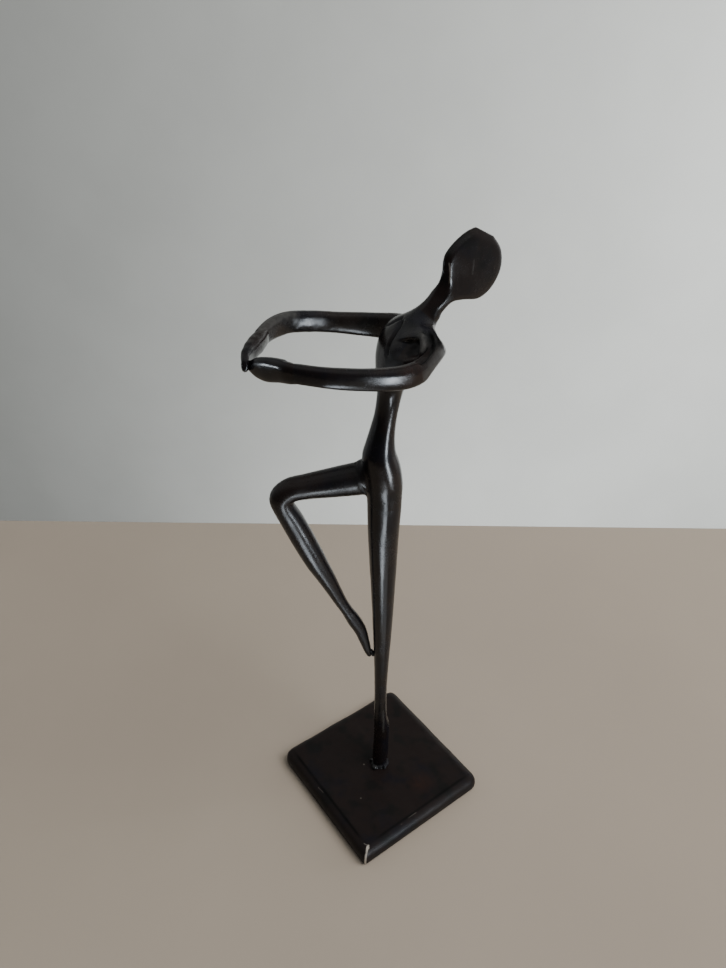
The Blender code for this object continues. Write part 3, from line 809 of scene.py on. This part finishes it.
def drop(centre, radius):
    """Rings of a small round drop, just open at its poles."""
    x, y, z = centre
    rings = []
    for step in range(DROP_RINGS):
        angle = math.pi * (step + 0.25) / (DROP_RINGS - 0.5)
        middle = Vector((x, y, z - radius * math.cos(angle)))
        girth = radius * math.sin(angle)
        rings.append(section(middle, SIDEWAYS, BACKWARDS, girth, girth, 2.0))
    return rings


def shape_bead(name, drops, skins=()):
    """A bead of braze: drops run together, with any further skins."""
    rings = [drop(centre, radius) for centre, radius in drops]
    clay = Clay(skin_mesh(name, [*skins, *rings]), BEAD_VOXEL)
    clay.relax(3)
    clay.ripple(size=1.6, height=0.15, seed=2.2)
    # Painted highlight: pale grey on the first drop of the bead
    clay.brush("haze_and_sheen", clay.near(drops[0][0], 2.0) * 0.8)
    return clay.fired()


# ---------------------------------------------------------------- placing the pieces

PLATE_TO_WORLD = Matrix.Diagonal((MM, MM, MM, 1.0))
FIGURE_TO_WORLD = (Matrix.Rotation(FIGURE_TURN, 4, "Z")
                   @ Matrix.Translation((-FOOT_OFFSET * MM, 0.0, 0.0)) @ PLATE_TO_WORLD)


def place(name, mesh, slot_name, material, to_world=FIGURE_TO_WORLD):
    """The visual piece that stands for a CAD node, from a mesh in millimetres."""
    mesh.transform(to_world)
    mesh.shade_smooth()
    mesh.materials.clear()
    mesh.materials.append(material)
    piece = bpy.data.objects.new(name + "_cast", mesh)
    bpy.context.scene.collection.objects.link(piece)
    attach(piece, ROOT)
    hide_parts(name)
    return piece


# ---------------------------------------------------------------- materials

# A Mix node has a socket of each name for every data type, so its colours go by number
MIX_FIRST_COLOUR, MIX_SECOND_COLOUR, MIX_COLOUR_RESULT = 6, 7, 2


class Recipe:
    """A node material in the making: most calls add a node and return its output."""

    def __init__(self, name):
        self.material = bpy.data.materials.new(name)
        self.material.use_nodes = True
        self.tree = self.material.node_tree
        self.shader = self.tree.nodes["Principled BSDF"]
        self.place = self.node("ShaderNodeTexCoord").outputs["Object"]

    def node(self, kind, **settings):
        item = self.tree.nodes.new(kind)
        for setting, value in settings.items():
            setattr(item, setting, value)
        return item

    def feed(self, socket, value):
        """Puts a number, a colour or another node's output into a socket."""
        if isinstance(value, bpy.types.NodeSocket):
            self.tree.links.new(value, socket)
        else:
            socket.default_value = value

    def noise(self, size, detail=3.0, seed=0.0, roughness=0.55, stretch=(1.0, 1.0, 1.0)):
        """Cloudy values round 0.5, with clouds about size metres across."""
        shift = self.node("ShaderNodeMapping")
        self.feed(shift.inputs["Vector"], self.place)
        shift.inputs["Location"].default_value = (seed, 2.3 * seed, -1.7 * seed)
        shift.inputs["Scale"].default_value = stretch
        item = self.node("ShaderNodeTexNoise")
        self.feed(item.inputs["Vector"], shift.outputs["Vector"])
        item.inputs["Scale"].default_value = 1.0 / size
        item.inputs["Detail"].default_value = detail
        item.inputs["Roughness"].default_value = roughness
        return item.outputs["Fac"]

    def ramp(self, value, low, high, start=0.0, end=1.0):
        """Turns low..high into start..end, smoothly, and holds the ends."""
        item = self.node("ShaderNodeMapRange", interpolation_type="SMOOTHSTEP")
        self.feed(item.inputs["Value"], value)
        item.inputs["From Min"].default_value = low
        item.inputs["From Max"].default_value = high
        item.inputs["To Min"].default_value = start
        item.inputs["To Max"].default_value = end
        return item.outputs["Result"]

    def math(self, operation, first, second=0.0):
        item = self.node("ShaderNodeMath", operation=operation)
        self.feed(item.inputs[0], first)
        self.feed(item.inputs[1], second)
        return item.outputs["Value"]

    def blend(self, share, first, second):
        """The first colour where share is 0 and the second where it is 1."""
        item = self.node("ShaderNodeMix", data_type="RGBA")
        self.feed(item.inputs["Factor"], share)
        self.feed(item.inputs[MIX_FIRST_COLOUR], first)
        self.feed(item.inputs[MIX_SECOND_COLOUR], second)
        return item.outputs[MIX_COLOUR_RESULT]

    def attribute(self, name):
        return self.node("ShaderNodeAttribute", attribute_name=name).outputs["Fac"]

    def streaky(self, name, seed):
        """A painted value, broken up into streaks."""
        streaks = self.ramp(self.noise(0.0025, 4.0, seed, 0.7), 0.30, 0.62, 0.35, 1.0)
        return self.math("MULTIPLY", self.attribute(name), streaks)

    def finish(self, colour, roughness, relief, depth, specular=0.5, metallic=0.0):
        """The material, with relief as a bump of that depth in metres."""
        self.feed(self.shader.inputs["Base Color"], colour)
        self.feed(self.shader.inputs["Roughness"], roughness)
        self.feed(self.shader.inputs["Metallic"], metallic)
        self.shader.inputs["Specular IOR Level"].default_value = specular
        bump = self.node("ShaderNodeBump")
        bump.inputs["Distance"].default_value = depth
        self.feed(bump.inputs["Height"], relief)
        self.feed(self.shader.inputs["Normal"], bump.outputs["Normal"])
        return self.material


# Colours of the bronze
BLACK_VIOLET = (0.0058, 0.0055, 0.0084, 1.0)
BLACK_BROWN = (0.0112, 0.0076, 0.0070, 1.0)
BLACK_OLIVE = (0.0046, 0.0050, 0.0048, 1.0)
# Pale grey for duller patina and for painted highlights and reflections
HAZE_AND_SHEEN_GREY = (0.052, 0.051, 0.049, 1.0)
RED_STAIN = (0.018, 0.009, 0.007, 1.0)
# Bronze rubbed bare, also used for a painted highlight on the head's ridge
BARE_BRONZE_AND_HIGHLIGHT = (0.44, 0.40, 0.35, 1.0)
WORN_BRONZE = (0.040, 0.030, 0.021, 1.0)
# Near-black for hollows and for painted shade
CREVICE_AND_SHADE = (0.0010, 0.0009, 0.0010, 1.0)


# The least paint on a surface that shows
FAINTEST_MARK = 0.01


def marks_on(mesh):
    """The names of the painted values that show somewhere on a mesh."""
    marks = set()
    for layer in mesh.attributes:
        if layer.data_type == "FLOAT" and layer.domain == "POINT":
            values = np.empty(len(layer.data), np.float32)
            layer.data.foreach_get("value", values)
            if values.max() > FAINTEST_MARK:
                marks.add(layer.name)
    return marks


def patina(name, mesh, seed, gloss=0.22, specular=0.34, brownness=0.0):
    """Near-black patina with brown and olive clouds, waxed, and rubbed on its edges.

    gloss is the waxed skin's roughness, and brownness 1 has brown nearly all over. Painted
    shade, stains, pale grey painted highlights and reflections, and exposed metal with a
    painted highlight on the head's ridge follow the paint on the mesh.
    """
    recipe = Recipe(name)
    marks = marks_on(mesh)
    shift = 0.15 * brownness
    clouds = recipe.ramp(recipe.noise(0.017, 3.0, seed), 0.40 - shift, 0.62 - shift)
    colour = recipe.blend(clouds, BLACK_VIOLET, BLACK_BROWN)
    olive = recipe.ramp(recipe.noise(0.011, 2.0, seed + 4.0), 0.52, 0.68, 0.0, 0.7)
    colour = recipe.blend(olive, colour, BLACK_OLIVE)
    grain = recipe.noise(0.0011, 4.0, seed + 1.0, 0.65)
    form = recipe.attribute("form")
    worn = recipe.math("MULTIPLY", recipe.ramp(form, 0.45, 1.0), recipe.ramp(grain, 0.48, 0.66))
    colour = recipe.blend(recipe.math("MULTIPLY", worn, 0.5), colour, WORN_BRONZE)
    # Concave places go near-black and matt; painted shade is added to them below
    hollow = recipe.ramp(form, -0.12, -0.55)
    # Painted shade from the mesh's paint turns the surface near-black and matt
    if "painted_shade" in marks:
        hollow = recipe.math("MAXIMUM", hollow, recipe.attribute("painted_shade"))
    colour = recipe.blend(hollow, colour, CREVICE_AND_SHADE)

    rough = recipe.ramp(recipe.noise(0.009, 2.0, seed + 2.0), 0.35, 0.68, gloss - 0.03, gloss + 0.05)
    rough = recipe.math("ADD", rough, recipe.ramp(grain, 0.52, 0.8, 0.0, 0.10))
    rough = recipe.math("ADD", rough, recipe.math("MULTIPLY", hollow, 0.35))
    shine = 0.0
    # Pale grey and rougher where highlights and reflections are painted on
    if "haze_and_sheen" in marks:
        haze_and_sheen = recipe.streaky("haze_and_sheen", seed + 6.0)
        colour = recipe.blend(haze_and_sheen, colour, HAZE_AND_SHEEN_GREY)
        rough = recipe.math("ADD", rough, recipe.math("MULTIPLY", haze_and_sheen, 0.22))
    if "stain" in marks:
        colour = recipe.blend(recipe.streaky("stain", seed + 6.0), colour, RED_STAIN)
    # Exposed metal, and a painted highlight on the head's ridge
    if "bare_and_highlight" in marks:
        bare_and_highlight = recipe.ramp(recipe.attribute("bare_and_highlight"), 0.15, 0.7)
        colour = recipe.blend(bare_and_highlight, colour, BARE_BRONZE_AND_HIGHLIGHT)
        shine = recipe.math("MULTIPLY", bare_and_highlight, 0.4)
    relief = recipe.math("ADD", grain, recipe.noise(0.006, 2.0, seed))
    return recipe.finish(colour, rough, relief, 0.000012, specular, shine)


def metal(name, colour, tarnish, stretch, seed):
    """Bare metal with fine tool lines and cloudy tarnish."""
    recipe = Recipe(name)
    lines = recipe.noise(0.0006, 2.0, seed, 0.6, stretch)
    clouds = recipe.ramp(recipe.noise(0.004, 3.0, seed + 3.0), 0.42, 0.70)
    shade = recipe.blend(clouds, (*colour, 1.0), (*tarnish, 1.0))
    rough = recipe.math("MULTIPLY", clouds, 0.2)
    rough = recipe.math("ADD", recipe.ramp(lines, 0.3, 0.7, 0.20, 0.34), rough)
    return recipe.finish(shade, rough, lines, 0.00001, 0.5, 1.0)


def felt():
    """Pressed wool: short fibres in every direction and a soft bloom at grazing angles."""
    recipe = Recipe("felt")
    fibres = recipe.noise(0.0004, 5.0, 1.0, 0.75)
    tufts = recipe.noise(0.003, 3.0, 2.0)
    shade = recipe.blend(recipe.ramp(fibres, 0.35, 0.65), (0.010, 0.010, 0.011, 1.0),
                         (0.030, 0.030, 0.031, 1.0))
    material = recipe.finish(shade, recipe.ramp(tufts, 0.3, 0.7, 0.86, 1.0),
                             recipe.math("ADD", fibres, tufts), 0.00025, 0.2)
    recipe.shader.inputs["Sheen Weight"].default_value = 0.4
    recipe.shader.inputs["Sheen Roughness"].default_value = 0.5
    return material


def dress(names, material):
    """Gives CAD nodes that keep their shape a finish of their own."""
    for name in names:
        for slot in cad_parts[name].material_slots:
            slot.material = material


# ---------------------------------------------------------------- stage

# Everything here is in metres of the world
CAMERA_PLACE = (0.21264, -0.16708, 0.37956)
CAMERA_RIGHT = (0.5892, 0.80799, 0.0005)
CAMERA_UP = (-0.44677, 0.32527, 0.83342)
CAMERA_FORWARD = (-0.67323, 0.49128, -0.55263)
LENS_MM = 27.98

# The table ends behind the figure, and a wall stands well behind the table
TABLE_EDGE = (Vector((-0.384, -0.1129, 0.0)), Vector((-0.0149, 0.3747, 0.0)))
TABLE_HALF_WIDTH = 0.80
TABLE_REACH = 0.85
TABLE_THICKNESS = 0.05
EDGE_ROUNDING = 0.006
EDGE_STEPS = 6
WALL_DISTANCE = 1.5
WALL_HALF_WIDTH = 1.7
WALL_LOW, WALL_HIGH = -2.0, 3.5
ALONG_EDGE = (TABLE_EDGE[1] - TABLE_EDGE[0]).normalized()
AWAY = Vector((-ALONG_EDGE.y, ALONG_EDGE.x, 0.0))
EDGE_MIDDLE = (TABLE_EDGE[0] + TABLE_EDGE[1]) / 2
WALL_FOOT = EDGE_MIDDLE + AWAY * WALL_DISTANCE
TABLE_COLOUR = (0.385, 0.328, 0.270)
WALL_COLOUR = (0.60, 0.61, 0.585)

SUNNY = (1.0, 0.99, 0.97)
CLOUDY = (0.97, 0.99, 1.0)
SKY = (0.84, 0.92, 1.0)
# Lights that fill the room: name, place, aim, size, power and colour
ROOM_LIGHTS = (
    ("ceiling", (0.9, 0.6, 1.45), (0.0, 0.1, 0.0), (1.2, 1.2), 29.0, SUNNY),
    ("wall_wash", (0.9, 1.6, 0.2), WALL_FOOT + ALONG_EDGE * 1.5 - UP * 0.3, (1.0, 1.0), 62.0, CLOUDY),
    ("low_wash", WALL_FOOT + ALONG_EDGE * 0.3 - AWAY * 0.8 - UP * 1.2,
     WALL_FOOT + ALONG_EDGE * 0.3 - UP, (1.2, 0.6), 7.0, CLOUDY),
)
# Small windows and glows that the polished bronze mirrors: the same values
MIRRORED_LIGHTS = (
    ("low_window", (0.5, 0.07, 0.07), (0.0, 0.0, 0.20), (0.10, 0.24), 2.6, SKY),
    ("shin_glow", (0.19, -0.12, 0.004), (0.19, -0.12, 1.0), (0.19, 0.075), 0.58, SKY),
    ("leg_glow", (0.14, -0.03, 0.004), (0.14, -0.03, 1.0), (0.12, 0.08), 0.030, SKY),
    ("hand_light", (-0.249, -0.362, 0.211), (-0.035, -0.070, 0.274), (0.05, 0.04), 0.0016, SKY),
)
HAND_LIGHT_SPREAD = math.radians(14.0)

# The world: soft light all round that fades towards the front, and a plain backdrop
DARK_SIDE = (0.52, -0.66, -0.54)
FADE_START, FADE_END = -0.15, 0.50
LIT_STRENGTH, DARK_STRENGTH = 0.42, 0.05
WORLD_COLOUR = (0.98, 1.0, 0.99, 1.0)


def add_camera():
    data = bpy.data.cameras.new("camera")
    data.lens = LENS_MM
    data.clip_start = 0.01
    camera = bpy.data.objects.new("camera", data)
    bpy.context.scene.collection.objects.link(camera)
    rows = zip(CAMERA_RIGHT, CAMERA_UP, [-value for value in CAMERA_FORWARD])
    camera.matrix_world = Matrix.Translation(CAMERA_PLACE) @ Matrix(list(rows)).to_4x4()
    bpy.context.scene.camera = camera


def area_light(name, place, aim, size, power, colour):
    data = bpy.data.lights.new(name, "AREA")
    data.shape = "RECTANGLE"
    data.size, data.size_y = size
    data.energy = power
    data.color = colour
    light = bpy.data.objects.new(name, data)
    bpy.context.scene.collection.objects.link(light)
    light.location = place
    light.rotation_euler = (Vector(aim) - Vector(place)).to_track_quat("-Z", "Y").to_euler()
    light.visible_camera = False
    return light


def add_lights():
    area_light("side_window", (0.05, 1.0, 0.22), (0.0, 0.0, 0.22), (0.9, 0.5), 1.0, CLOUDY)
    for values in ROOM_LIGHTS:
        area_light(*values).visible_glossy = False
    for values in MIRRORED_LIGHTS:
        area_light(*values).visible_diffuse = False
    bpy.data.lights["hand_light"].spread = HAND_LIGHT_SPREAD


def sheet(name, rows, colour, mottle):
    """A plain matt surface of the stage through rows of points."""
    bm = bmesh.new()
    loops = [[bm.verts.new(point) for point in row] for row in rows]
    for lower, upper in zip(loops, loops[1:]):
        bm.faces.new((*lower, *upper[::-1]))
    mesh = bpy.data.meshes.new(name)
    bm.to_mesh(mesh)
    bm.free()
    mesh.shade_smooth()
    piece = bpy.data.objects.new(name, mesh)
    bpy.context.scene.collection.objects.link(piece)
    recipe = Recipe(name)
    clouds = recipe.ramp(recipe.noise(0.25, 4.0, 1.0), 0.3, 0.7)
    darker, paler = [[value * (1.0 + change) for value in colour] for change in (-mottle, mottle)]
    shade = recipe.blend(clouds, (*darker, 1.0), (*paler, 1.0))
    mesh.materials.append(recipe.finish(shade, 0.8, recipe.noise(0.004), 0.00002, 0.0))


def across(middle, half_width):
    """A row of two points, to the left and the right of a middle."""
    return [middle - ALONG_EDGE * half_width, middle + ALONG_EDGE * half_width]


def add_stage():
    profile = [(-TABLE_REACH, 0.0), (0.0, 0.0)]
    for step in range(1, EDGE_STEPS + 1):
        angle = math.pi / 2 * step / EDGE_STEPS
        profile.append((EDGE_ROUNDING * math.sin(angle), EDGE_ROUNDING * (math.cos(angle) - 1.0)))
    profile.append((EDGE_ROUNDING, -TABLE_THICKNESS))
    rows = [across(EDGE_MIDDLE + AWAY * reach + UP * height, TABLE_HALF_WIDTH)
            for reach, height in profile]
    sheet("table", rows, TABLE_COLOUR, 0.03)
    rows = [across(WALL_FOOT + UP * height, WALL_HALF_WIDTH) for height in (WALL_LOW, WALL_HIGH)]
    sheet("wall", rows, WALL_COLOUR, 0.025)


def add_world():
    world = bpy.data.worlds.new("studio")
    world.use_nodes = True
    tree = world.node_tree
    direction = tree.nodes.new("ShaderNodeTexCoord").outputs["Generated"]
    towards = tree.nodes.new("ShaderNodeVectorMath")
    towards.operation = "DOT_PRODUCT"
    tree.links.new(direction, towards.inputs[0])
    towards.inputs[1].default_value = DARK_SIDE
    fade = tree.nodes.new("ShaderNodeMapRange")
    tree.links.new(towards.outputs["Value"], fade.inputs["Value"])
    fade.inputs["From Min"].default_value = FADE_START
    fade.inputs["From Max"].default_value = FADE_END
    fade.inputs["To Min"].default_value = LIT_STRENGTH
    fade.inputs["To Max"].default_value = DARK_STRENGTH
    seen = tree.nodes.new("ShaderNodeLightPath").outputs["Is Camera Ray"]
    strength = tree.nodes.new("ShaderNodeMix")
    tree.links.new(seen, strength.inputs["Factor"])
    tree.links.new(fade.outputs["Result"], strength.inputs["A"])
    strength.inputs["B"].default_value = LIT_STRENGTH
    background = tree.nodes["Background"]
    background.inputs["Color"].default_value = WORLD_COLOUR
    tree.links.new(strength.outputs["Result"], background.inputs["Strength"])
    bpy.context.scene.world = world


# ---------------------------------------------------------------- build

# Castings whose patina isn't quite like the rest
OWN_FINISH = {"head_and_neck": {"brownness": 1.0}, "raised_leg": {"gloss": 0.26}}


def main():
    figure = shape_figure()
    for count, (name, mesh) in enumerate(saw_apart(figure).items()):
        place(name, mesh, "patinated_bronze", patina(name, mesh, 0.37 * count, **OWN_FINISH.get(name, {})))
    hand = shape_left_hand()
    place("left_hand", hand, "patinated_bronze", patina("left_hand", hand, 2.9, gloss=0.17))
    hand = shape_right_hand()
    place("right_hand", hand, "patinated_bronze", patina("right_hand", hand, 3.3))
    plate = shape_plate()
    finish = patina("base_plate", plate, 4.1, gloss=0.46, specular=0.17, brownness=1.0)
    place("base_plate", plate, "patinated_bronze", finish, PLATE_TO_WORLD)
    beads = {
        "foot_braze": (FOOT_DROPS, [limb(FOOT_COLLAR, SIDEWAYS)]),
        "toe_braze": (TOE_DROPS, []),
        "fingertip_braze": (FINGERTIP_DROPS, []),
    }
    for count, (name, (drops, skins)) in enumerate(beads.items()):
        bead = shape_bead(name, drops, skins)
        place(name, bead, "patinated_braze", patina(name, bead, 5.0 + count, gloss=0.30))
    dress([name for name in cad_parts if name.endswith("_dowel")],
          metal("drawn_bronze", (0.46, 0.29, 0.14), (0.17, 0.10, 0.05), (1.0, 1.0, 0.05), 1.0))
    dress(["fixing_stud", "fixing_washer", "fixing_nut"],
          metal("plated_steel", (0.56, 0.57, 0.58), (0.36, 0.35, 0.32), (1.0, 0.1, 1.0), 2.0))
    dress(["felt_pad"], felt())
    add_camera()
    add_stage()
    add_lights()
    add_world()


main()
